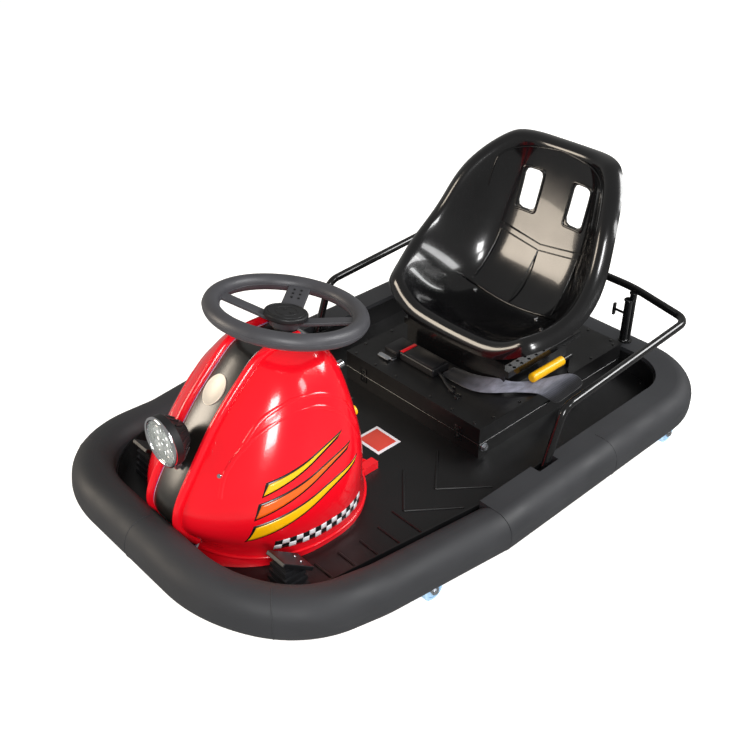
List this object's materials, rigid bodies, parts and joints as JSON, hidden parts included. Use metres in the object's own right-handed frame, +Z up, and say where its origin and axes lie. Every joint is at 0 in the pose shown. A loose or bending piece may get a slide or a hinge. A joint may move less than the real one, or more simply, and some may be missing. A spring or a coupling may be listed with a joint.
{
  "type": "electric go-kart",
  "caption": "Low electric kart: rubber bumper ring, red two-part cowl with a lamp, raked steering over a front drive wheel, bucket seat on a battery box and a tubular guard rail.",
  "frame": {"origin": "on the ground, under the centre of the kart's bounding box", "axes": "-Y forwards, +X to the driver's left, +Z up"},
  "size_m": [0.8666, 1.322, 0.6132],
  "materials": {
    "bumper_rubber": "matt charcoal",
    "tub_paint": "satin black",
    "cowl_red": "gloss red",
    "spine_black": "satin black",
    "lamp_black": "satin black",
    "lamp_chrome": "bright",
    "lamp_glass": "clear",
    "bracket_steel": "bright",
    "box_paint": "satin black",
    "battery_case": "matt",
    "seat_plastic": "gloss black",
    "runner_steel": "satin black",
    "grip_yellow": "gloss yellow",
    "belt_black": "satin black",
    "belt_steel": "bright",
    "belt_fabric": "woven",
    "rail_paint": "gloss black",
    "hand_foam": "matt black",
    "column_steel": "satin",
    "axle_steel": "bright",
    "rim_aluminium": "satin",
    "tyre_rubber": "matt",
    "pedal_plastic": "matt black",
    "boot_rubber": "matt black",
    "caster_steel": "bright",
    "caster_blue": "pale blue",
    "knob_silver": "bright",
    "knob_yellow": "gloss yellow"
  },
  "bodies": {
    "chassis": {"battery_block": "battery_case", "battery_lid": "box_paint", "battery_tray": "box_paint", "belt_buckle": "belt_black", "belt_tongue": "belt_steel", "belt_webbing": "belt_fabric", "bumper_front": "bumper_rubber", "bumper_rear": "bumper_rubber", "cowl_left": "cowl_red", "cowl_right": "cowl_red", "cowl_spine": "spine_black", "flag_tube": "rail_paint", "floor_tray": "tub_paint", "guard_rail": "rail_paint", "horn_button": "knob_yellow", "key_switch": "knob_silver", "lamp_bracket": "bracket_steel", "lamp_lens": "lamp_glass", "lamp_reflector": "lamp_chrome", "lamp_shell": "lamp_black", "pedal_boot_left": "boot_rubber", "pedal_boot_right": "boot_rubber", "pedal_left": "pedal_plastic", "pedal_right": "pedal_plastic", "seat_lever": "grip_yellow", "seat_pedestal": "box_paint", "seat_runners": "runner_steel", "seat_shell": "seat_plastic", "steering_head": "tub_paint", "thumb_screw": "bracket_steel", "tub_wall": "tub_paint", "under_frame": "tub_paint"},
    "steering": {"steering_wheel": "hand_foam", "steering_pad": "hand_foam", "steering_column": "column_steel", "drive_fork": "column_steel", "drive_axle": "axle_steel"},
    "drive_wheel": {"drive_rim": "rim_aluminium", "drive_tyre": "tyre_rubber"},
    "caster_rear_left": {"caster_yoke_rear_left": "caster_steel"},
    "caster_wheel_rear_left": {"caster_wheel_rear_left": "caster_blue"},
    "caster_rear_right": {"caster_yoke_rear_right": "caster_steel"},
    "caster_wheel_rear_right": {"caster_wheel_rear_right": "caster_blue"},
    "caster_side_left": {"caster_yoke_side_left": "caster_steel"},
    "caster_wheel_side_left": {"caster_wheel_side_left": "caster_blue"},
    "caster_side_right": {"caster_yoke_side_right": "caster_steel"},
    "caster_wheel_side_right": {"caster_wheel_side_right": "caster_blue"}
  },
  "joints": [
    {"name": "steering_turn", "type": "hinge", "parent": "chassis", "child": "steering", "pos_m": [0, -0.349, 0.1], "axis": [0, 0.2079, 0.9781], "range_deg": [-85, 85]},
    {"name": "drive_wheel_spin", "type": "hinge", "parent": "steering", "child": "drive_wheel", "pos_m": [0, -0.349, 0.1], "axis": [1, 0, 0], "continuous": true},
    {"name": "caster_rear_left_swivel", "type": "hinge", "parent": "chassis", "child": "caster_rear_left", "pos_m": [0.375, 0.516, 0.06], "axis": [0, 0, 1], "continuous": true},
    {"name": "caster_rear_left_spin", "type": "hinge", "parent": "caster_rear_left", "child": "caster_wheel_rear_left", "pos_m": [0.375, 0.538, 0.025], "axis": [1, 0, 0], "continuous": true},
    {"name": "caster_rear_right_swivel", "type": "hinge", "parent": "chassis", "child": "caster_rear_right", "pos_m": [-0.375, 0.516, 0.06], "axis": [0, 0, 1], "continuous": true},
    {"name": "caster_rear_right_spin", "type": "hinge", "parent": "caster_rear_right", "child": "caster_wheel_rear_right", "pos_m": [-0.375, 0.538, 0.025], "axis": [1, 0, 0], "continuous": true},
    {"name": "caster_side_left_swivel", "type": "hinge", "parent": "chassis", "child": "caster_side_left", "pos_m": [0.352, -0.241, 0.06], "axis": [0, 0, 1], "continuous": true},
    {"name": "caster_side_left_spin", "type": "hinge", "parent": "caster_side_left", "child": "caster_wheel_side_left", "pos_m": [0.352, -0.219, 0.025], "axis": [1, 0, 0], "continuous": true},
    {"name": "caster_side_right_swivel", "type": "hinge", "parent": "chassis", "child": "caster_side_right", "pos_m": [-0.352, -0.241, 0.06], "axis": [0, 0, 1], "continuous": true},
    {"name": "caster_side_right_spin", "type": "hinge", "parent": "caster_side_right", "child": "caster_wheel_side_right", "pos_m": [-0.352, -0.219, 0.025], "axis": [1, 0, 0], "continuous": true}
  ]
}
